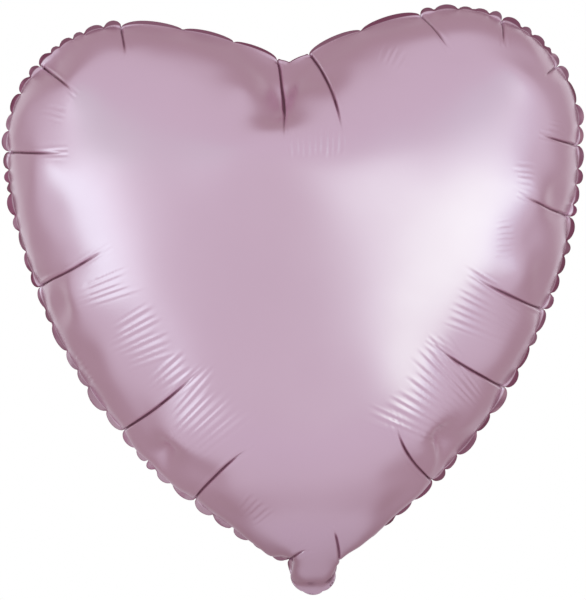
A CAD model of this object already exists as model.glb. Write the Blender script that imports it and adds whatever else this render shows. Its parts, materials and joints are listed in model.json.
"""Heart-shaped foil balloon, seen from the front: two satin film panels blown up from a flat heart, the
welded edge that runs round them, and the filling neck whose tail is folded up behind the tip."""
import json
import math
from collections import namedtuple

import bpy
import numpy as np
from mathutils import Matrix, Vector
from mathutils.geometry import delaunay_2d_cdt


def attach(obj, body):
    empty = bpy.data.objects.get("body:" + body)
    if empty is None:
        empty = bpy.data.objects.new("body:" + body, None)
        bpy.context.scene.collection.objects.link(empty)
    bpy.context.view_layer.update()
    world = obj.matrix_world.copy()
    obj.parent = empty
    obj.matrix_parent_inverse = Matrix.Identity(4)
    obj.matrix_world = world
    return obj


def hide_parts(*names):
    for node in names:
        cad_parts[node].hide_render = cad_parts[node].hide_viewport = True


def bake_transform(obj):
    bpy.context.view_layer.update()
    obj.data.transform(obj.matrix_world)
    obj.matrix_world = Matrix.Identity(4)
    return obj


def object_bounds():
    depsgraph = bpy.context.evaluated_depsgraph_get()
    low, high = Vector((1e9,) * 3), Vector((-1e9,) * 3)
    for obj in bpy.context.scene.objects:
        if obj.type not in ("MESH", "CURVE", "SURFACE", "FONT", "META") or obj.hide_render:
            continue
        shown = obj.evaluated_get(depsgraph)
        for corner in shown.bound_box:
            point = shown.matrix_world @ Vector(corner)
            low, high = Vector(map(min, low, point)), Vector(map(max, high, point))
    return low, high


MM = 0.001
FRONT, REAR = 0, 1

# ---------------------------------------------------------------- outlines of the weld, in millimetres
# Two lobes, a cleft, two long sides and a rounded tip, all in arcs. Where neck_half isn't 0, a rounded
# neck of that half width stands below the tip.
Outline = namedtuple(
    "Outline", "lobe_x lobe_z lobe_r cleft_z top_r side_r tip_z tip_r neck_half fillet foot_z")
FLAT = Outline(101.0, 284.0, 119.0, 389.0, 248.0, 315.0, -5.0, 15.0, 0, 0, 0)
BLOWN = Outline(99.7, 280.2, 77.9, 329.3, 265.0, 308.0, 28.7, 12.0, 14.5, 8.0, -0.6)
FLAT_MIDDLE = 170.0

MESH_STEP = 9.0
SEED = 3

# ---------------------------------------------------------------- folds and ripples of the film
# A tuck runs inwards from the weld: (place round the heart in degrees, length in mm, direction in
# degrees, sideways bow in mm, depth as a share of the deepest, depth in mm of the wide hollow round it).
# Places are seen from the front, about the heart's middle.
TUCKS = [
    (120, 22, -80, 0.5, 0.8, 0.9), (135, 31, -43, 0.5, 0.9, 1.3), (150, 38, -6, -0.5, 0.9, 1.3),
    (174, 51, 23, -1.0, 1.0, 1.4), (-147, 62, 35, -1.5, 1.0, 1.4), (-121, 50, 43, 1.5, 1.0, 1.4),
    (92.6, 55, -89, 1.0, 1.0, 0.3), (85.6, 59, -73, 3.2, 1.0, 0.3), (65, 30, -61, 0.5, 0.7, 0.8),
    (52, 18, -98, 0.0, 0.7, 0.9), (40, 14, -143, 0.0, 0.6, 1.0), (27, 26, 168, 0.5, 0.9, 1.2),
    (15, 36, 160, 1.0, 0.9, 1.5), (-4, 51, 155, 1.5, 0.9, 1.4), (-25, 56, 147, 1.5, 1.0, 1.4),
    (-56, 46, 121, 4.0, 1.0, 1.4), (-95.5, 15, 35, 0.5, 0.9, 1.0), (-83.8, 18, 101, -0.5, 0.9, 1.0),
]
HEART_MIDDLE = (0.0, 180.0)
# Fine ripples lie side by side in patches: (x, z of the middle, length along a ripple, width across the
# ripples, direction in degrees, fan in degrees across the patch, pitch, height), in mm. The strength
# multiplies every height.
RIPPLE_STRENGTH = 1.5
RIPPLES = [
    (-118, 194, 46, 17, 17, 3, 3.6, 0.13), (-99, 163, 42, 34, 23, 6, 4.0, 0.14),
    (-82, 141, 36, 15, 37, 4, 4.0, 0.17), (-61, 115, 60, 40, 41, 6, 4.1, 0.21),
    (-33, 57, 18, 22, 45, 8, 3.9, 0.12), (-7, 40, 18, 14, 62, 6, 3.6, 0.13),
    (112, 170, 56, 36, -29, -6, 4.0, 0.18), (78, 120, 56, 58, -40, -16, 4.2, 0.20),
    (13, 275, 21, 34, 88, 4, 3.5, 0.20), (-144, 303, 18, 11, -22, 0, 4.2, 0.12),
    (161, 279, 16, 12, -9, 2, 3.4, 0.11), (138, 251, 16, 17, -6, 4, 3.6, 0.13),
    (124, 213, 14, 28, 0, 4, 3.5, 0.08), (62, 325, 18, 18, 62, 8, 3.8, 0.08),
    (-134, 146, 8, 24, 28, 10, 3.5, 0.14),
]


# ---------------------------------------------------------------- outline of the flat heart
def circle_meet(a, ra, b, rb):
    """The two points where a circle about a meets a circle about b."""
    span = np.hypot(*(b - a))
    along = (span**2 + ra**2 - rb**2) / (2 * span)
    off = math.sqrt(max(ra**2 - along**2, 0))
    unit = (b - a) / span
    side = np.array([-unit[1], unit[0]]) * off
    return a + unit * along + side, a + unit * along - side


def arc(centre, radius, start, end, step, turn=1):
    """Points on an arc from start to just before end. turn is 1 anticlockwise, -1 clockwise."""
    a = math.atan2(start[1] - centre[1], start[0] - centre[0])
    b = math.atan2(end[1] - centre[1], end[0] - centre[0])
    if turn * (b - a) < 0:
        b += turn * 2 * math.pi
    count = max(int(round(abs(b - a) * radius / step)), 1)
    t = a + (b - a) * np.arange(count) / count
    return np.stack([centre[0] + radius * np.cos(t), centre[1] + radius * np.sin(t)], 1)


def heart_outline(heart, step):
    """A weld line as a closed polyline, anticlockwise from the bottom of the neck, and where on it the
    cleft is."""
    lobe = np.array([heart.lobe_x, heart.lobe_z])
    cleft = np.array([0, heart.cleft_z])
    tip = np.array([0, heart.tip_z])
    tops = circle_meet(lobe, heart.top_r - heart.lobe_r, cleft, heart.top_r)
    top = min(tops, key=lambda c: c[1])
    sides = circle_meet(lobe, heart.side_r - heart.lobe_r, tip, heart.side_r - heart.tip_r)
    side = min(sides, key=lambda c: c[0])
    top_joint = top + (lobe - top) / np.hypot(*(lobe - top)) * heart.top_r
    side_joint = side + (lobe - side) / np.hypot(*(lobe - side)) * heart.side_r
    if heart.neck_half:
        bottom = np.array([0, heart.foot_z + heart.neck_half])
        around, beside = heart.neck_half + heart.fillet, heart.side_r + heart.fillet
        fillet = max(circle_meet(bottom, around, side, beside), key=lambda c: c[0])
        joint = side + (fillet - side) * heart.side_r / beside
        neck_joint = bottom + (fillet - bottom) * heart.neck_half / around
        runs = [arc(bottom, heart.neck_half, np.array([0, heart.foot_z]), neck_joint, step),
                arc(fillet, heart.fillet, neck_joint, joint, step, turn=-1)]
    else:
        joint = side + (tip - side) * heart.side_r / np.hypot(*(tip - side))
        runs = [arc(tip, heart.tip_r, np.array([0, heart.tip_z - heart.tip_r]), joint, step)]
    runs.append(arc(side, heart.side_r, joint, side_joint, step))
    runs.append(arc(lobe, heart.lobe_r, side_joint, top_joint, step))
    runs.append(arc(top, heart.top_r, top_joint, cleft, step))
    right = np.concatenate(runs + [cleft[None]])
    return np.concatenate([right, right[1:-1][::-1] * [-1, 1]]), len(right) - 1


def resample(loop, step):
    """The same closed polyline with evenly spaced points."""
    closed = np.concatenate([loop, loop[:1]])
    length = np.concatenate([[0], np.cumsum(np.hypot(*np.diff(closed, axis=0).T))])
    count = int(round(length[-1] / step))
    t = np.arange(count) * length[-1] / count
    return np.stack([np.interp(t, length, closed[:, k]) for k in (0, 1)], 1)


def loop_distance(points, loop):
    """Distance from each point to a closed polyline, and the place along it of the nearest point."""
    start, run = loop, np.roll(loop, -1, 0) - loop
    length = np.hypot(*run.T)
    before = np.concatenate([[0], np.cumsum(length)[:-1]])
    distance, place = np.empty(len(points)), np.empty(len(points))
    for k in range(0, len(points), 2000):
        offset = points[k:k + 2000, None] - start
        t = np.clip((offset * run).sum(2) / length**2, 0, 1)
        gap = np.sqrt(((offset - t[..., None] * run) ** 2).sum(2))
        best = gap.argmin(1)
        row = np.arange(len(best))
        distance[k:k + 2000] = gap[row, best]
        place[k:k + 2000] = before[best] + t[row, best] * length[best]
    return distance, place


def inside(points, loop):
    """Which points are inside a closed polyline."""
    result = np.zeros(len(points), bool)
    for a, b in zip(loop, np.roll(loop, -1, 0)):
        spans = (a[1] > points[:, 1]) != (b[1] > points[:, 1])
        x = a[0] + (points[:, 1] - a[1]) / (b[1] - a[1] + 1e-12) * (b[0] - a[0])
        result ^= spans & (points[:, 0] < x)
    return result


# ---------------------------------------------------------------- triangles of the two panels
def hex_grid(low, high, step, rng, jitter=0.12):
    rows = []
    for i, z in enumerate(np.arange(low[1], high[1], step * math.sqrt(3) / 2)):
        x = np.arange(low[0] + (i % 2) * step / 2, high[0], step)
        rows.append(np.stack([x, np.full_like(x, z)], 1))
    grid = np.concatenate(rows)
    return grid + rng.uniform(-jitter, jitter, grid.shape) * step


def flat_panel(weld, step, rng):
    """Triangles of one flat panel, finest along the weld. The first points are the weld's own."""
    low, high = weld.min(0) - step, weld.max(0) + step
    points = [weld]
    for coarse, near, far in ((1, 0, 3.2), (1.6, 3.2, 8), (2.7, 8, 1e6)):
        grid = hex_grid(low, high, coarse * step, rng)
        grid = grid[inside(grid, weld)]
        gap = loop_distance(grid, weld)[0]
        points.append(grid[(gap > max(near, 0.7) * step) & (gap <= far * step)])
    points = np.concatenate(points)
    count = len(weld)
    ring = [(i, (i + 1) % count) for i in range(count)]
    while True:
        verts = [Vector((float(x), float(z))) for x, z in points]
        found = delaunay_2d_cdt(verts, ring, [], 0, 1e-6)
        flat = np.array([(v.x, v.y) for v in found[0]])
        faces = np.array(found[2])
        faces = faces[inside(flat[faces].mean(1), weld)]
        edges, uses = np.unique(edge_list(faces), axis=0, return_counts=True)
        across = edges[(uses == 2) & (edges < count).all(1)]
        if not len(across):
            return flat, faces
        points = np.concatenate([points, flat[across].mean(1)])


def edge_list(faces):
    return np.sort(np.concatenate([faces[:, [0, 1]], faces[:, [1, 2]], faces[:, [2, 0]]]), axis=1)


def two_panels(flat, faces, weld_count):
    """Front and rear panels that share the weld's points. side is -1 in front, 1 behind, 0 on it."""
    inner = np.arange(len(flat)) >= weld_count
    twin = np.arange(len(flat))
    twin[inner] = len(flat) + np.arange(inner.sum())
    run = flat[faces[:, 1]] - flat[faces[:, 0]]
    rise = flat[faces[:, 2]] - flat[faces[:, 0]]
    clockwise = run[:, 0] * rise[:, 1] - run[:, 1] * rise[:, 0] < 0
    front = np.where(clockwise[:, None], faces[:, ::-1], faces)
    both = np.concatenate([front, twin[front][:, ::-1]])
    panel = np.repeat([FRONT, REAR], len(front))
    side = np.concatenate([np.where(inner, -1.0, 0.0), np.ones(inner.sum())])
    return np.concatenate([flat, flat[inner]]), both, panel, side


def split_all(faces, panel, values):
    """Each triangle in four. values are arrays with one row per point."""
    edges, where = np.unique(edge_list(faces), axis=0, return_inverse=True)
    where = where.reshape(3, -1) + len(values[0])
    a, b, c = where
    faces = np.concatenate([
        np.stack([faces[:, 0], a, c], 1), np.stack([faces[:, 1], b, a], 1),
        np.stack([faces[:, 2], c, b], 1), np.stack([a, b, c], 1)])
    values = [np.concatenate([v, (v[edges[:, 0]] + v[edges[:, 1]]) / 2]) for v in values]
    return faces, np.tile(panel, 4), values


# ---------------------------------------------------------------- blowing it up
def hinges(faces):
    """All edges, and the two points across each edge that two triangles share."""
    edges, where, uses = np.unique(edge_list(faces), axis=0, return_inverse=True, return_counts=True)
    opposite = np.concatenate([faces[:, 2], faces[:, 0], faces[:, 1]])
    order = np.argsort(where.reshape(-1), kind="stable")
    first = np.concatenate([[0], np.cumsum(uses)])[:-1][uses == 2]
    return edges, np.stack([opposite[order[first]], opposite[order[first + 1]]], 1)


def separate(pairs, count):
    """Groups of pairs in which no point comes up twice, so that each group moves at once."""
    taken, group = [0] * count, np.empty(len(pairs), int)
    for k, (i, j) in enumerate(pairs.tolist()):
        mask = taken[i] | taken[j]
        g = (~mask & (mask + 1)).bit_length() - 1
        group[k] = g
        taken[i] |= 1 << g
        taken[j] |= 1 << g
    return [np.nonzero(group == g)[0] for g in range(group.max() + 1)]


def inflate(shape, flat, faces, steps, gas, damping, bend, squeeze):
    """Film that can't stretch, under pressure. squeeze is how far it resists shortening, at the start
    and at the end, and bend is its stiffness."""
    count = len(shape)
    edges, across = hinges(faces)
    rest = np.hypot(*(flat[edges[:, 0]] - flat[edges[:, 1]]).T)
    wide = np.hypot(*(flat[across[:, 0]] - flat[across[:, 1]]).T)
    holds = [(edges[g, 0], edges[g, 1], rest[g]) for g in separate(edges, count)]
    bends = []
    if bend:
        bends = [(across[g, 0], across[g, 1], wide[g]) for g in separate(across, count)]
    a, b, c = faces.T
    run, rise = flat[b] - flat[a], flat[c] - flat[a]
    area = np.abs(run[:, 0] * rise[:, 1] - run[:, 1] * rise[:, 0]).sum() / 2 / count
    speed = np.zeros_like(shape)
    for step in range(steps):
        share = squeeze[0] + (squeeze[1] - squeeze[0]) * min(1.0, step / (0.6 * steps))
        if step % 3 == 0:
            push = np.cross(shape[b] - shape[a], shape[c] - shape[a]) / 6
            at_corners = [[np.bincount(k, push[:, d], count) for d in range(3)] for k in (a, b, c)]
            force = sum(np.stack(corner, 1) for corner in at_corners)
            force *= gas / area
        speed = (speed + force) * damping
        moved = shape + speed
        for i, j, length in bends:
            d = moved[i] - moved[j]
            now = np.sqrt(np.einsum("ij,ij->i", d, d))
            d *= (bend * 0.5 * (now - length) / now)[:, None]
            moved[i] -= d
            moved[j] += d
        for i, j, length in holds:
            d = moved[i] - moved[j]
            now = np.sqrt(np.einsum("ij,ij->i", d, d))
            pull = 0.5 * (now - length) / now
            d *= np.where(pull < 0, share * pull, pull)[:, None]
            moved[i] -= d
            moved[j] += d
        speed = moved - shape
        shape = moved
    return shape


# ---------------------------------------------------------------- smoothing and refining
def averages(values, edges):
    """Mean of each point's neighbours."""
    count = len(values)
    total = [np.bincount(edges[:, 0], values[edges[:, 1], d], count)
             + np.bincount(edges[:, 1], values[edges[:, 0], d], count) for d in range(values.shape[1])]
    return np.stack(total, 1) / np.bincount(edges.reshape(-1), minlength=count)[:, None]


def smooth(shape, faces, share, rounds):
    """Take out the small noise without shrinking. share says how much, point by point."""
    edges = np.unique(edge_list(faces), axis=0)
    for _ in range(rounds):
        for pull in (0.5, -0.52):
            shape = shape + (averages(shape, edges) - shape) * (pull * share)[:, None]
    return shape


def point_normals(shape, faces):
    a, b, c = faces.T
    push = np.cross(shape[b] - shape[a], shape[c] - shape[a])
    count = len(shape)
    total = sum(np.stack([np.bincount(k, push[:, d], count) for d in range(3)], 1) for k in (a, b, c))
    return total / (np.linalg.norm(total, axis=1)[:, None] + 1e-12)


def roll(rows, first):
    """Each row turned round so that it starts at its own first column."""
    return np.take_along_axis(rows, (first[:, None] + np.arange(3)) % 3, 1)


def refine(shape, flat, side, faces, panel, wanted_size, rounds=5):
    """Split every edge that is too long. New points follow the curve that the normals show."""
    for _ in range(rounds):
        edges, where = np.unique(edge_list(faces), axis=0, return_inverse=True)
        i, j = edges.T
        run = shape[j] - shape[i]
        length = np.linalg.norm(run, axis=1)
        size = wanted_size(shape, flat, side)
        cut = length > 1.4 * np.minimum(size[i], size[j])
        if not cut.any():
            break
        i, j, run, length = i[cut], j[cut], run[cut], length[cut]
        normals = point_normals(shape, faces)
        rise = (run * normals[i]).sum(1)[:, None] * normals[i]
        fall = (run * normals[j]).sum(1)[:, None] * normals[j]
        lift = (rise - fall) / -8
        tall = np.linalg.norm(lift, axis=1) + 1e-12
        lift *= np.minimum(1, 0.12 * length / tall)[:, None]
        number = np.full(len(edges), -1)
        number[cut] = len(shape) + np.arange(cut.sum())
        shape = np.concatenate([shape, (shape[i] + shape[j]) / 2 + lift])
        flat = np.concatenate([flat, (flat[i] + flat[j]) / 2])
        middle = (side[i] + side[j]) / 2
        side = np.concatenate([side, np.sign(middle) * (np.abs(middle) > 0.3)])
        faces, panel = split_marked(faces, panel, number[where].reshape(3, -1).T, shape)
    return shape, flat, side, faces, panel


def split_marked(faces, panel, mids, shape):
    """Triangles split along the edges with a middle point. mids holds -1 where an edge has none."""
    marked = mids >= 0
    marks = marked.sum(1)
    whole = marks == 0
    new, owner = [faces[whole]], [panel[whole]]

    def add(rows, *corners):
        new.append(np.stack(corners, 1))
        owner.append(panel[rows] if rows.dtype == int else panel[np.nonzero(rows)[0]])

    all_three = marks == 3
    (a, b, c), (p, q, r) = faces[all_three].T, mids[all_three].T
    for corners in ((a, p, r), (p, b, q), (r, q, c), (p, q, r)):
        add(all_three, *corners)
    single = marks == 1
    first = marked[single].argmax(1)
    (a, b, c), p = roll(faces[single], first).T, roll(mids[single], first)[:, 0]
    add(single, a, p, c)
    add(single, p, b, c)
    double = np.nonzero(marks == 2)[0]
    first = ((~marked[double]).argmax(1) + 1) % 3
    (a, b, c), (p, q, _) = roll(faces[double], first).T, roll(mids[double], first).T
    add(double, p, b, q)
    short = np.linalg.norm(shape[a] - shape[q], axis=1) < np.linalg.norm(shape[p] - shape[c], axis=1)
    add(double, a, p, np.where(short, q, c))
    add(double, np.where(short, a, p), q, c)
    return np.concatenate(new), np.concatenate(owner)


# ---------------------------------------------------------------- tucks, ripples and the puckered weld
def tuck_lines(weld, tucks):
    """Each tuck as a curve from the weld inwards, seen from the front, with its length and depths."""
    angle = np.degrees(np.arctan2(weld[:, 2] - HEART_MIDDLE[1], weld[:, 0] - HEART_MIDDLE[0]))
    lines = []
    for place, length, heading, bow, depth, hollow in tucks:
        start = weld[np.abs((angle - place + 180) % 360 - 180).argmin()][[0, 2]]
        way = np.array([math.cos(math.radians(heading)), math.sin(math.radians(heading))])
        t = np.linspace(0, 1, 17)[:, None]
        across = np.array([-way[1], way[0]])
        lines.append((start + way * length * t + across * bow * 4 * t * (1 - t), length, depth, hollow))
    return lines


def along_line(points, line, reach):
    """Points near a curve: which they are, how far along, 0 to 1 and beyond, and how far off."""
    low, high = line.min(0) - reach, line.max(0) + reach
    near = np.nonzero(((points > low) & (points < high)).all(1))[0]
    run = np.diff(line, axis=0)
    offset = points[near][:, None] - line[:-1]
    t = (offset * run).sum(2) / (run * run).sum(1)
    ends = np.zeros(len(run)), np.ones(len(run))
    ends[0][0], ends[1][-1] = -3, 6
    t = np.clip(t, *ends)
    gap = ((offset - t[..., None] * run) ** 2).sum(2)
    best = gap.argmin(1)
    row = np.arange(len(near))
    sign = np.sign(run[best, 0] * offset[row, best, 1] - run[best, 1] * offset[row, best, 0])
    return near, (best + t[row, best]) / len(run), sign * np.sqrt(gap[row, best])


def step_up(value, low, high):
    t = np.clip((value - low) / (high - low), 0, 1)
    return t * t * (3 - 2 * t)


def tuck_height(points, lines):
    """How far the film stands out of its smooth shape, and how deep in a crease it is, 0 to 1."""
    height, crease = np.zeros(len(points)), np.zeros(len(points))
    for line, length, depth, hollow in lines:
        near, t, off = along_line(points, line, 26)
        fade = 1 - step_up(t, 0.6, 1.05)
        groove = np.exp(-(off / 0.6) ** 2)
        pinch = -1.9 * groove - 0.5 * np.exp(-np.abs(off) / 2.5)
        lip = 0.35 * np.exp(-((off - 2.1) / 1.0) ** 2)
        fork = 0.16 * np.cos(2 * math.pi * off / 3.3) * np.exp(-(off / 5) ** 2)
        fork *= np.exp(-(((t - 0.88) * length) / 9) ** 2)
        height[near] += depth * ((pinch + lip) * fade + fork)
        round_it = np.exp(-(off / 9) ** 2) * (1 - step_up(t, 0, 0.95)) * step_up(26 - np.abs(off), 0, 8)
        height[near] -= hollow * round_it
        dark = depth * np.exp(-(off / 0.5) ** 2) * (1 - step_up(t, 0.6, 1.0))
        crease[near] = np.maximum(crease[near], dark)
    return height, crease


def hashed(index, salt):
    """The same number from -1 to 1 each time for each index."""
    return 2 * np.modf(np.abs(np.sin(index * 12.9898 + salt * 78.233)) * 43758.5453)[0] - 1


def ripple_frame(points, patch):
    """Each point in a ripple patch: how far across it, on which ripple, and how far in, 0 to 1."""
    x, z, length, width, heading, fan, pitch, _ = patch
    way = np.array([math.cos(math.radians(heading)), math.sin(math.radians(heading))])
    offset = points - (x, z)
    along = offset @ way
    across = offset @ np.array([-way[1], way[0]])
    spread = math.tan(math.radians(fan)) / (width / 2)
    across = across / np.maximum(1 + along * spread, 0.3)
    index = np.floor(across / pitch + 0.5)
    along = along - hashed(index, x) * length * 0.10
    reach = length * (0.42 + 0.08 * hashed(index, z))
    from_ends = 1 - step_up(np.abs(along) / reach, 0.35, 1.1)
    from_sides = 1 - step_up(np.abs(across) / width * 2, 0.75, 1.1)
    return across, index, from_ends * from_sides


def ripple_height(points, patches):
    height = np.zeros(len(points))
    for patch in patches:
        x, z, length, width, _, _, pitch, tall = patch
        near = np.nonzero(np.hypot(*(points - (x, z)).T) < math.hypot(length, width) * 0.65)[0]
        across, index, depth = ripple_frame(points[near], patch)
        phase = 2 * math.pi * across / pitch + 0.5 * np.sin(across * 0.7 + x)
        wave = np.sin(phase) + 0.25 * np.sin(2 * phase)
        height[near] += RIPPLE_STRENGTH * tall * depth * wave * (0.85 + 0.3 * hashed(index, length))
    return height


def pucker_places(weld, place, total, tucks):
    """Where the weld folds inwards: at each tuck, and every petal's width between them."""
    angle = np.degrees(np.arctan2(weld[:, 2] - HEART_MIDDLE[1], weld[:, 0] - HEART_MIDDLE[0]))
    main = sorted(place[np.abs((angle - t[0] + 180) % 360 - 180).argmin()] for t in tucks)
    rng = np.random.default_rng(SEED + 8)
    places, depths = [], []
    for a, b in zip(main, main[1:] + [main[0] + total]):
        here = angle[np.abs(place - (a + b) / 2 % total).argmin()]
        petal = 13.5 if here > 0 and abs(here - 90) > 22 else 17.0
        if abs(here - 90) < 22:
            petal = 40.0
        count = max(int(round((b - a) / petal)), 1)
        shift = np.where(np.arange(count), rng.uniform(-0.22, 0.22, count), 0)
        cuts = a + (b - a) * (np.arange(count) + shift) / count
        places.extend(cuts % total)
        depths.extend([1.5] + list(rng.uniform(0.45, 1.1, count - 1)))
    order = np.argsort(places)
    return np.array(places)[order], np.array(depths)[order]


def petal_at(place, places, total):
    """Which petal each place is on, and how far along it, 0 to 1."""
    petal = (np.searchsorted(places, place, side="right") - 1) % len(places)
    start = places[petal]
    width = (np.roll(places, -1)[petal] - start) % total
    return petal, ((place - start) % total) / width


def pucker(place, places, depths, total):
    """1 times the fold's depth at each fold of the weld, 0 in the middle of each petal."""
    petal, t = petal_at(place, places, total)
    arch = np.sqrt(np.clip(4 * t * (1 - t), 0, 1))
    deep = depths[petal] * (1 - t) + np.roll(depths, -1)[petal] * t
    return (1 - arch) * deep


# ---------------------------------------------------------------- the whole envelope
DAMPING = 0.98
# Each finer stage of the inflation: (steps, gas, stiffness, resistance to shortening, first and last).
FINER_STAGES = [(600, 0.004, 0.05, (0.01, 0.15)), (400, 0.002, 0.2, (0.15, 0.2))]
# Near the tip the film is pulled in towards the seam by this share, fading between these heights.
TIP_PULL, TIP_RANGE = 0.3, (38, 95)
# The film beside the weld curves this much more than the simulated film.
FULLER = 1.35
# The flat band outside the weld, with half the gap between its two layers and its rows of points.
WELD_BAND = 4.9
FILM_GAP = 0.12
ROWS = 5
# How much darker the film is at the neck, as a share of a crease's dark, and where that fades out.
NECK_TONE, NECK_RANGE = 0.28, (18, 78)
# The rear film stays in front of the plane y = TAIL_ROOM + TAIL_SLOPE * z, which runs beside the tail.
TAIL_ROOM, TAIL_SLOPE = 1.2, 0.727


def blown_heart():
    """The inflated film, in mm: its points, their flat places and sides, its triangles and their
    panels, and the weld's flat outline."""
    weld = resample(heart_outline(FLAT, 0.5)[0], MESH_STEP)
    rng = np.random.default_rng(SEED)
    flat, faces = flat_panel(weld, MESH_STEP, rng)
    flat, faces, panel, side = two_panels(flat, faces, len(weld))
    gap = loop_distance(flat, weld)[0]
    shape = np.stack([flat[:, 0] * 0.8, side * (2 + 0.7 * gap),
                      FLAT_MIDDLE + (flat[:, 1] - FLAT_MIDDLE) * 0.8], 1)
    shape += rng.normal(0, 0.3, shape.shape)
    shape = inflate(shape, flat, faces, 800, 0.02, DAMPING, 0, (0.0005, 0.0005))
    for steps, gas, bend, squeeze in FINER_STAGES:
        faces, panel, (shape, flat, side) = split_all(faces, panel, [shape, flat, side])
        side = np.sign(side) * (np.abs(side) > 0.3)
        shape = inflate(shape, flat, faces, steps, gas, DAMPING, bend, squeeze)
    return shape, flat, side, faces, panel, weld


def fit_outline(shape, flat, side, faces, weld):
    """Lay the crumpled weld on the outline of the finished balloon, and carry the film along."""
    rim = np.nonzero(side == 0)[0]
    place = loop_distance(flat[rim], weld)[1]
    rim, place = rim[np.argsort(place)], np.sort(place)
    curve = shape[rim]
    for _ in range(30):
        curve = curve + 0.25 * (np.roll(curve, 1, 0) + np.roll(curve, -1, 0) - 2 * curve)
    wander, curve = curve[:, 1], curve[:, [0, 2]]
    outline, cleft = heart_outline(BLOWN, 0.5)
    wide = np.ptp(outline, axis=0) / np.ptp(curve, axis=0)
    middle = (outline.max(0) + outline.min(0)) / 2 - (curve.max(0) + curve.min(0)) / 2 * wide
    shape = shape * [wide[0], wide[1], wide[1]] + [middle[0], 0, middle[1]]
    travel = np.concatenate([[0], np.cumsum(np.hypot(*np.diff(curve, axis=0).T))])
    round_it = travel[-1] + np.hypot(*(curve[0] - curve[-1]))
    cleft_place = loop_distance(np.array([[0, FLAT.cleft_z]]), weld)[1][0]
    ends = [0, np.interp(cleft_place, place, travel), round_it]
    closed = np.concatenate([outline, outline[:1]])
    length = np.concatenate([[0], np.cumsum(np.hypot(*np.diff(closed, axis=0).T))])
    along = np.interp(travel, ends, length[[0, cleft, -1]])
    target = np.stack([np.interp(along, length, closed[:, k]) for k in (0, 1)], 1)
    moved = np.stack([target[:, 0], wander * 0.2, target[:, 1]], 1) - shape[rim]
    edges = np.unique(edge_list(faces), axis=0)
    field = np.zeros_like(shape)
    for _ in range(250):
        field[rim] = moved
        field = averages(field, edges)
    field[rim] = moved
    return shape + field


def taper_to_tip(shape):
    """The film pulled in towards the seam near the tip, where the heart is narrow."""
    shape = shape.copy()
    shape[:, 1] *= 1 - TIP_PULL * (1 - step_up(shape[:, 2], *TIP_RANGE))
    return shape


def round_edge(shape, flat, side, faces, weld):
    """Even out the film beside the weld: it takes its mean curvature, times FULLER, and loses its
    crumples."""
    film = (side != 0).astype(float)
    gap = loop_distance(flat, weld)[0]
    share = (1 - step_up(gap, 19, 40)) * step_up(shape[:, 2], 30, 50) * film
    edges = np.unique(edge_list(faces), axis=0)
    normals = point_normals(shape, faces)
    swell = ((shape - averages(shape, edges)) * normals).sum(1)
    around = averages(np.stack([film] * 3, 1), edges)[:, 0] + 1e-6
    for _ in range(120):
        swell = averages(np.stack([swell * film] * 3, 1), edges)[:, 0] / around
    swell = swell * FULLER
    for turn in range(900):
        if turn % 10 == 0:
            normals = point_normals(shape, faces)
        push = averages(shape, edges) - shape + normals * swell[:, None]
        shape = shape + push * share[:, None]
    return smooth(shape, faces, step_up(gap, -0.5, 2.5) * film, 100)


def wanted_size(tucks, ripples, weld):
    """How fine the film has to be at each point, in millimetres."""
    def size(shape, flat, side):
        view = shape[:, [0, 2]]
        wanted = np.full(len(shape), 3.2)
        gap = loop_distance(flat, weld)[0]
        wanted = np.where(gap < 9, 1.35 + 0.16 * gap, wanted)
        for face, own in ((-1, tucks[0]), (1, tucks[1])):
            here = np.nonzero(side * face >= 0)[0]
            for line, _, _, _ in own:
                near, t, off = along_line(view[here], line, 10)
                fine = np.where(t < 1.1, 0.45 + 0.36 * np.maximum(np.abs(off) - 1.2, 0), 3.2)
                wanted[here[near]] = np.minimum(wanted[here[near]], fine)
            for patch in ripples:
                depth = ripple_frame(view[here], patch)[2]
                wanted[here] = np.minimum(wanted[here], np.where(depth > 0.03, 1.05, 3.2))
        return wanted
    return size


def rear_tucks():
    """The rear panel shares the folds of the weld, and its tucks run in from them their own way."""
    rng = np.random.default_rng(SEED + 1)
    tucks = []
    for place, length, heading, bow, depth, hollow in TUCKS:
        length *= rng.uniform(0.7, 1.25)
        heading += rng.uniform(-9, 9)
        bow *= rng.uniform(-1, 1)
        depth *= rng.uniform(0.7, 1)
        tucks.append((place, length, heading, bow, depth, hollow))
    return tucks


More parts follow.
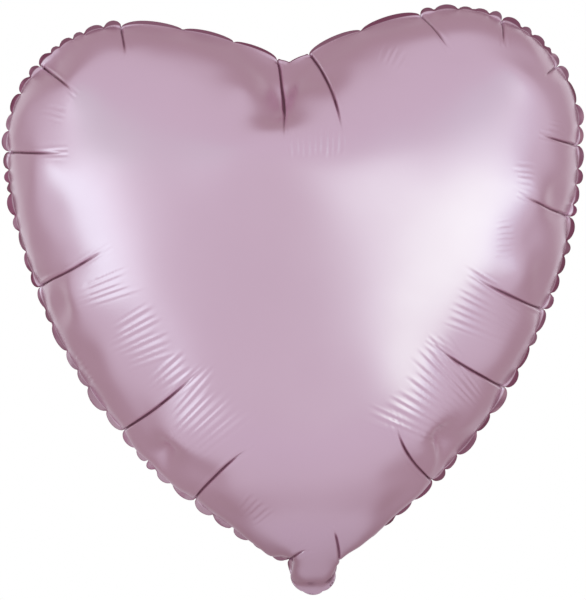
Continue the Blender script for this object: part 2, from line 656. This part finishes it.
def envelope():
    """The finished film in mm: points, triangles and their panels, the rim's numbers, each point's
    tone, and the weld band's points and tones."""
    shape, flat, side, faces, panel, weld = blown_heart()
    shape = smooth(shape, faces, np.full(len(shape), 1.0), 8)
    shape = taper_to_tip(fit_outline(shape, flat, side, faces, weld))
    shape = smooth(shape, faces, step_up(loop_distance(flat, weld)[0], -0.5, 2.5) * (side != 0), 600)
    shape = round_edge(shape, flat, side, faces, weld)
    rim = np.nonzero(side == 0)[0]
    rim = rim[np.argsort(loop_distance(flat[rim], weld)[1])]
    tucks = [tuck_lines(shape[rim], TUCKS), tuck_lines(shape[rim], rear_tucks())]
    wanted = wanted_size(tucks, RIPPLES, weld)
    shape, flat, side, faces, panel = refine(shape, flat, side, faces, panel, wanted)
    gap, place = loop_distance(flat, weld)
    total = np.hypot(*(np.roll(weld, -1, 0) - weld).T).sum()
    rim = np.nonzero(side == 0)[0]
    rim = rim[np.argsort(place[rim])]
    places, depths = pucker_places(shape[rim], place[rim], total, TUCKS)
    normals = smooth_normals(shape, faces)
    view = shape[:, [0, 2]]
    height, crease = np.zeros(len(shape)), np.zeros(len(shape))
    for face, own in ((-1, tucks[0]), (1, tucks[1])):
        here = np.nonzero(side * face >= 0)[0]
        relief, dark = tuck_height(view[here], own)
        height[here] = (relief + ripple_height(view[here], RIPPLES)) * step_up(gap[here], 0, 2.5)
        crease[here] = np.maximum(crease[here], dark)
    crease = np.maximum(crease, NECK_TONE * (1 - step_up(shape[:, 2], *NECK_RANGE)))
    fold = pucker(place, places, depths, total)
    height -= 0.5 * fold * np.exp(-gap / 3) * step_up(gap, 0, 2)
    outward = weld_outward(shape[rim])
    beside = np.searchsorted(place[rim], place).clip(0, len(rim) - 1)
    shape = shape + normals * height[:, None]
    shape -= outward[beside] * (1.3 * fold * np.exp(-gap / 4))[:, None]
    petal, t = petal_at(place, places, total)
    sway = 0.8 * hashed(petal, 5) * np.sin(math.pi * t) * np.exp(-gap / 4)
    shape[:, 1] += sway
    shape = clear_of_tail(shape, side)
    band, tone = weld_band(shape[rim], outward, place[rim], places, total)
    return shape, faces, panel, rim, 1 - crease, band, tone


def clear_of_tail(shape, side):
    """The rear film pressed in where the folded tail lies on it."""
    limit = TAIL_ROOM + TAIL_SLOPE * shape[:, 2] + 14 * step_up(np.abs(shape[:, 0]), 16, 45)
    limit += 40 * step_up(shape[:, 2], 52, 90)
    shape[:, 1] = np.where(side > 0, np.minimum(shape[:, 1], limit), shape[:, 1])
    return shape


def smooth_normals(shape, faces):
    normals = point_normals(shape, faces)
    edges = np.unique(edge_list(faces), axis=0)
    for _ in range(4):
        normals = 0.5 * normals + 0.5 * averages(normals, edges)
        normals /= np.linalg.norm(normals, axis=1)[:, None]
    return normals


def weld_outward(curve):
    """Directions away from the heart, square to the weld line, evened out along it."""
    run = np.roll(curve, -4, 0) - np.roll(curve, 4, 0)
    out = np.stack([run[:, 2], np.zeros(len(run)), -run[:, 0]], 1)
    for _ in range(25):
        out = out + 0.25 * (np.roll(out, 1, 0) + np.roll(out, -1, 0) - 2 * out)
    return out / np.linalg.norm(out, axis=1)[:, None]


def weld_band(curve, outward, place, places, total):
    """Rows of points of the flat band outside the weld, in petals that lean back from the folds, and
    how light each point is, 0 to 1."""
    petal, t = petal_at(place, places, total)
    arch = np.sqrt(np.clip(4 * t * (1 - t), 0, 1))
    angle = np.degrees(np.arctan2(curve[:, 2] - HEART_MIDDLE[1], curve[:, 0] - HEART_MIDDLE[0]))
    flat_lie = np.exp(-((angle + 135) / 34) ** 4)
    lean = np.radians(38 - 26 * flat_lie + 12 * hashed(petal, 2))
    width = WELD_BAND * (0.06 + (0.72 + 0.2 * hashed(petal, 3)) * arch)
    off_neck = 0.06 + 0.94 * step_up(curve[:, 2], 12, 26)
    off_neck *= 0.25 + 0.75 * step_up(np.abs(curve[:, 0] - 2.4), 7, 11)
    width *= off_neck
    curl = 0.9 * hashed(petal, 7) * arch
    rows, tones = [], []
    for k in range(ROWS + 1):
        r = k / ROWS
        back = np.sin(lean) * width * r + curl * r * r + 0.25 * np.sin(t * 9 + petal) * r * arch
        row = curve + outward * (np.cos(lean) * width * r)[:, None]
        row[:, 1] += back
        rows.append(row)
        light = flat_lie * (0.9 - 0.5 * (r > 0.9)) + 0.12 * (1 + hashed(petal, 9)) * (1 - flat_lie)
        tones.append(light * (0.35 + 0.65 * step_up(arch, 0.1, 0.8)))
    return np.stack(rows), np.stack(tones)


def film_object(name, points, faces, materials, which=None, tone=None):
    """A smooth mesh object from points in millimetres. tone is how light the film is at each point."""
    used = np.unique(faces)
    number = np.zeros(len(points), int)
    number[used] = np.arange(len(used))
    mesh = bpy.data.meshes.new(name)
    mesh.from_pydata((points[used] * MM).tolist(), [], number[faces].tolist())
    for material in materials:
        mesh.materials.append(material)
    if which is not None:
        mesh.polygons.foreach_set("material_index", which.astype(np.int32))
    if tone is not None:
        shade = mesh.attributes.new("tone", "FLOAT", "POINT")
        shade.data.foreach_set("value", tone[used].astype(np.float32))
    mesh.polygons.foreach_set("use_smooth", np.ones(len(mesh.polygons), bool))
    mesh.update()
    obj = bpy.data.objects.new(name, mesh)
    bpy.context.scene.collection.objects.link(obj)
    return obj


def make_skins(film, band_film):
    """The two panels, each with its own layer of the weld band."""
    shape, faces, panel, rim, tone, band, band_tone = envelope()
    count, around = len(shape), len(rim)
    ring = np.arange(around)
    grid = count + ring + around * np.arange(ROWS)[:, None]
    rows = np.concatenate([rim[None], grid])
    low_edge, high_edge = rows[:-1], rows[1:]
    step = np.roll(ring, -1)
    first = np.stack([low_edge, high_edge, high_edge[:, step]], 2).reshape(-1, 3)
    second = np.stack([low_edge, high_edge[:, step], low_edge[:, step]], 2).reshape(-1, 3)
    strips = np.concatenate([first, second])
    tone = np.concatenate([tone, band_tone[1:].reshape(-1)])
    skins = []
    for name, face, own in (("front_skin", -1, FRONT), ("rear_skin", 1, REAR)):
        layer = band[1:] + np.array([0, face * FILM_GAP, 0])
        points = np.concatenate([shape, layer.reshape(-1, 3)])
        body = faces[panel == own]
        edge = strips if face < 0 else strips[:, ::-1]
        which = np.repeat([0, 1], [len(body), len(edge)])
        both = np.concatenate([body, edge])
        skins.append(film_object(name, points, both, [film, band_film], which, tone))
    return skins


# ---------------------------------------------------------------- folded tail
def tail_path(fold, lean, length):
    """Middle line of the tail in the y-z plane: down out of the neck, round the fold and up behind."""
    way = np.array([math.sin(lean), math.cos(lean)])
    points = [np.array(p) for p in ((0.0, 7.5), (0.1, 5.2), (0.6, 3.5), (1.6, 2.7), (2.8, 2.7))]
    points += [np.array(fold) + way * s for s in np.arange(2.0, length + 0.1, 1.5)]
    return np.array(points)


def make_tail(fold, lean, length, half_width, fold_half, film):
    """The two films of the filling tail as one crinkled flat tube, open at its mouth."""
    path = tail_path(fold, lean, length)
    run = np.gradient(path, axis=0)
    run /= np.linalg.norm(run, axis=1)[:, None]
    travel = np.concatenate([[0], np.cumsum(np.linalg.norm(np.diff(path, axis=0), axis=1))])
    from_fold = travel - travel[5]
    around = 96
    turn = np.linspace(0, 2 * math.pi, around, endpoint=False)
    rows = []
    for centre, way, here in zip(path, run, from_fold):
        spread = step_up(here, -2, 13)
        wide = fold_half + (half_width - fold_half) * spread
        cos, sin = np.cos(turn), np.sin(turn)
        x = wide * np.sign(cos) * np.abs(cos) ** 0.8
        puff = 0.8 + 0.3 * spread + 1.1 * step_up(here, length - 18, length)
        thick = puff * np.sign(sin) * np.abs(sin) ** 0.75
        u = x / half_width
        pleat = 0.35 * np.sin(9.5 * u / (0.45 + 0.55 * spread) + 0.6) * math.exp(-max(here, 0) / 22)
        drift = 0.19 * here + 0.8 * np.sin(0.13 * here) + 1.3 * np.sign(sin)
        crinkle = 0.22 * np.sin(5.3 * u + drift) * spread
        crinkle += 0.1 * np.sin(11 * u - 0.31 * here + 1.7)
        wave = 0.1 * np.sin(0.11 * here + 1.1) * np.cos(2.1 * u)
        off = thick * (1.2 + pleat + crinkle) + wave * spread
        edge_wave = 0.35 * np.sin(0.9 * here) * spread * np.sign(cos)
        mouth = 0.6 * np.sin(4 * u + 1) * step_up(here, length - 4, length)
        out = np.array([way[1], -way[0]])
        y = centre[0] + out[0] * off + way[0] * mouth
        z = centre[1] + out[1] * off + way[1] * mouth
        rows.append(np.stack([x + edge_wave, y, z], 1))
    points = np.concatenate(rows)
    count = len(rows)
    a = (np.arange(count - 1)[:, None] * around + np.arange(around)).reshape(-1)
    b = (np.arange(count - 1)[:, None] * around + np.roll(np.arange(around), -1)).reshape(-1)
    faces = np.concatenate([np.stack([a, b, b + around], 1), np.stack([a, b + around, a + around], 1)])
    return film_object("tail_skin", points, faces, [film])


# ---------------------------------------------------------------- materials
def new_material(name):
    material = bpy.data.materials.new(name)
    material.use_nodes = True
    nodes = material.node_tree.nodes
    return material, nodes, material.node_tree.links, nodes["Principled BSDF"]


def noise(nodes, links, scale, detail, rough=0.5):
    place = nodes.new("ShaderNodeTexCoord")
    texture = nodes.new("ShaderNodeTexNoise")
    texture.inputs["Scale"].default_value = scale
    texture.inputs["Detail"].default_value = detail
    texture.inputs["Roughness"].default_value = rough
    links.new(place.outputs["Object"], texture.inputs["Vector"])
    return texture.outputs["Fac"]


def ramp(nodes, links, value, low, high):
    mapped = nodes.new("ShaderNodeMapRange")
    mapped.inputs["To Min"].default_value = low
    mapped.inputs["To Max"].default_value = high
    links.new(value, mapped.inputs["Value"])
    return mapped.outputs["Result"]


def tint(nodes, links, value, dark, light):
    mix = nodes.new("ShaderNodeMix")
    mix.data_type = "RGBA"
    mix.inputs["A"].default_value = (*dark, 1)
    mix.inputs["B"].default_value = (*light, 1)
    links.new(value, mix.inputs["Factor"])
    return mix.outputs["Result"]


def film_material(name, shades, rough, coat, grain=0.25, creases=None):
    """Satin metallised film: a pink metal with a soft haze, faint cloudiness and a very fine grain.
    shades are its two clouded colours, and creases is the colour of the film where its tone is 0."""
    material, nodes, links, shader = new_material(name)
    colour = tint(nodes, links, noise(nodes, links, 14, 3), *shades)
    if creases:
        tone = nodes.new("ShaderNodeAttribute")
        tone.attribute_name = "tone"
        mix = nodes.new("ShaderNodeMix")
        mix.data_type = "RGBA"
        mix.inputs["A"].default_value = (*creases, 1)
        links.new(colour, mix.inputs["B"])
        links.new(tone.outputs["Fac"], mix.inputs["Factor"])
        colour = mix.outputs["Result"]
    links.new(colour, shader.inputs["Base Color"])
    shader.inputs["Metallic"].default_value = 1.0
    links.new(ramp(nodes, links, noise(nodes, links, 60, 4), rough - 0.03, rough + 0.03),
              shader.inputs["Roughness"])
    shader.inputs["Coat Weight"].default_value = coat
    shader.inputs["Coat Roughness"].default_value = 0.45
    bump = nodes.new("ShaderNodeBump")
    bump.inputs["Strength"].default_value = grain
    bump.inputs["Distance"].default_value = 0.00003
    links.new(noise(nodes, links, 1800, 2, 0.6), bump.inputs["Height"])
    links.new(bump.outputs["Normal"], shader.inputs["Normal"])
    return material


def clear_film_material():
    """Soft clear polyethylene of the valve."""
    material, nodes, links, shader = new_material("clear_valve_film")
    links.new(tint(nodes, links, noise(nodes, links, 90, 3), (0.82, 0.84, 0.86), (0.93, 0.94, 0.95)),
              shader.inputs["Base Color"])
    links.new(ramp(nodes, links, noise(nodes, links, 200, 3), 0.22, 0.38), shader.inputs["Roughness"])
    shader.inputs["Transmission Weight"].default_value = 0.75
    shader.inputs["IOR"].default_value = 1.5
    return material


# ---------------------------------------------------------------- studio, in metres
LIGHT_MIDDLE, LIGHT_AWAY = 0.2, 1.9


def make_world():
    """A soft world, white to the camera. The film sees it pale in front, dimmer and rosier behind."""
    world = bpy.data.worlds.new("studio")
    bpy.context.scene.world = world
    world.use_nodes = True
    nodes, links = world.node_tree.nodes, world.node_tree.links
    place = nodes.new("ShaderNodeTexCoord")
    parts = nodes.new("ShaderNodeSeparateXYZ")
    links.new(place.outputs["Generated"], parts.inputs["Vector"])
    around = nodes.new("ShaderNodeValToRGB")
    even, dim = (0.645, 0.62, 0.67), (0.41, 0.31, 0.34)
    pale, rosy = (0.66, 0.63, 0.70), (0.44, 0.35, 0.39)
    # Each stop: (place from straight ahead of the front, 0, to straight behind it, 1, colour).
    stops = ((0.0, even), (0.20, pale), (0.58, even), (0.70, rosy), (0.90, dim), (1.0, even))
    shades = around.color_ramp.elements
    while len(shades) < len(stops):
        shades.new(0.5)
    for shade, (at, colour) in zip(shades, stops):
        shade.position = at
        shade.color = (*colour, 1)
    links.new(ramp_from(nodes, links, parts.outputs["Y"]), around.inputs["Fac"])
    seen = nodes.new("ShaderNodeLightPath")
    mix = nodes.new("ShaderNodeMix")
    mix.data_type = "RGBA"
    mix.inputs["B"].default_value = (1, 1, 1, 1)
    links.new(seen.outputs["Is Camera Ray"], mix.inputs["Factor"])
    links.new(around.outputs["Color"], mix.inputs["A"])
    links.new(mix.outputs["Result"], nodes["Background"].inputs["Color"])


def ramp_from(nodes, links, value):
    mapped = nodes.new("ShaderNodeMapRange")
    mapped.inputs["From Min"].default_value = -1
    links.new(value, mapped.inputs["Value"])
    return mapped.outputs["Result"]


def soft_light(name, way, width, height, radiance):
    """A softbox in the direction way from the balloon's middle, and how bright it is in each colour."""
    light = bpy.data.lights.new(name, "AREA")
    light.shape = "RECTANGLE"
    light.size, light.size_y = width, height
    light.energy = math.pi * width * height * max(radiance)
    light.color = [part / max(radiance) for part in radiance]
    obj = bpy.data.objects.new(name, light)
    way = Vector(way).normalized()
    obj.location = Vector((0, 0, LIGHT_MIDDLE)) + way * LIGHT_AWAY
    obj.rotation_euler = (-way).to_track_quat("-Z", "Y").to_euler()
    bpy.context.scene.collection.objects.link(obj)


def make_floor(radius, height):
    mesh = bpy.data.meshes.new("floor")
    turn = np.linspace(0, 2 * math.pi, 96, endpoint=False)
    ring = [(radius * math.cos(t), radius * math.sin(t), height) for t in turn]
    mesh.from_pydata(ring, [], [list(range(96))])
    floor = bpy.data.objects.new("floor", mesh)
    bpy.context.scene.collection.objects.link(floor)
    material, nodes, links, shader = new_material("pale_floor")
    links.new(tint(nodes, links, noise(nodes, links, 3, 2), (0.86, 0.86, 0.87), (0.90, 0.90, 0.90)),
              shader.inputs["Base Color"])
    shader.inputs["Roughness"].default_value = 0.7
    mesh.materials.append(material)
    floor.visible_glossy = False


def make_camera(middle, tall):
    """Level with the balloon, far enough off to look almost flat, rolled as it hangs a little askew."""
    camera = bpy.data.cameras.new("camera")
    obj = bpy.data.objects.new("camera", camera)
    bpy.context.scene.collection.objects.link(obj)
    away = 2.0
    camera.sensor_fit = "VERTICAL"
    camera.sensor_height = 24
    camera.lens = 24 * away / (tall * 1.033)
    place = Vector((-0.0046, -away, middle))
    turn = Matrix.Rotation(math.radians(90), 4, "X") @ Matrix.Rotation(math.radians(-2.67), 4, "Z")
    obj.matrix_world = Matrix.Translation(place) @ turn
    bpy.context.scene.camera = obj


# ---------------------------------------------------------------- put together
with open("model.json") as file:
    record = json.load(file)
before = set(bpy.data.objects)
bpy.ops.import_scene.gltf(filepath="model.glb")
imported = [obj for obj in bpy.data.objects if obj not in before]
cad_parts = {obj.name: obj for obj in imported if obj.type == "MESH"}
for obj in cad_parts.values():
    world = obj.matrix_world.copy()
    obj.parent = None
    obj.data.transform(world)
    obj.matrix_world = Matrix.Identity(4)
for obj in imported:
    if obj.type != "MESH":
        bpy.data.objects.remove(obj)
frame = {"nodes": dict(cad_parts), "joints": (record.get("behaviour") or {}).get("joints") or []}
cad_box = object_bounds()
satin_shades = (0.83, 0.60, 0.72), (0.88, 0.65, 0.765)
pink = film_material("satin_pink_film", satin_shades, 0.32, 0.10, creases=(0.22, 0.08, 0.12))
band_shades = (0.64, 0.44, 0.52), (0.74, 0.53, 0.60)
band_pink = film_material("weld_band_film", band_shades, 0.28, 0.05, creases=(0.24, 0.07, 0.12))
tail_pink = film_material("tail_film", satin_shades, 0.32, 0.08)
clear = clear_film_material()

front_skin, rear_skin = make_skins(pink, band_pink)
for skin, panel_node in ((front_skin, "front_panel"), (rear_skin, "rear_panel")):
    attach(skin, "balloon")
    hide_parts(panel_node)

hinge = frame["joints"][0]
fold_place = np.array(hinge["pos_m"][1:]) / MM
tail_lean = math.radians(36)
tail_length, tail_half, fold_half = 66.0, 15.0, 7.3
tail_skin = make_tail(fold_place, tail_lean, tail_length, tail_half, fold_half, tail_pink)
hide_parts("tail_front_ply", "tail_rear_ply")
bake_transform(tail_skin)

for node in ("valve_front_film", "valve_rear_film", "tail_valve_front_film", "tail_valve_rear_film"):
    film_node = frame["nodes"][node]
    film_node.data.materials.clear()
    film_node.data.materials.append(clear)

make_world()
soft_light("key", (0.70, -0.71, -0.02), 1.2, 1.4, (0.23, 0.44, 0.26))
soft_light("key_wide", (0.66, -0.75, 0.05), 1.9, 1.9, (0.29, 0.455, 0.41))
soft_light("key_side", (0.93, -0.36, 0.05), 0.7, 1.3, (0.11, 0.195, 0.23))
soft_light("left", (-0.91, -0.42, 0.05), 0.8, 1.3, (0.11, 0.255, 0.22))
soft_light("left_wide", (-0.85, -0.50, 0.10), 1.3, 1.7, (0.34, 0.50, 0.47))
soft_light("top_left", (-0.60, -0.50, 0.62), 0.8, 0.8, (0.02, 0.13, 0.08))
soft_light("top_right", (0.60, -0.50, 0.62), 0.8, 0.8, (0.02, 0.10, 0.08))
soft_light("back_left", (-0.55, 0.80, 0.20), 1.2, 1.4, (0.22, 0.30, 0.28))
soft_light("back_right", (0.55, 0.80, 0.20), 1.2, 1.4, (0.22, 0.30, 0.28))
make_floor(1.2, -0.35)
bpy.context.scene.view_settings.view_transform = "Standard"
low, high = cad_box[0][2], cad_box[1][2]
make_camera((low + high) / 2 + 0.0025, high - low)
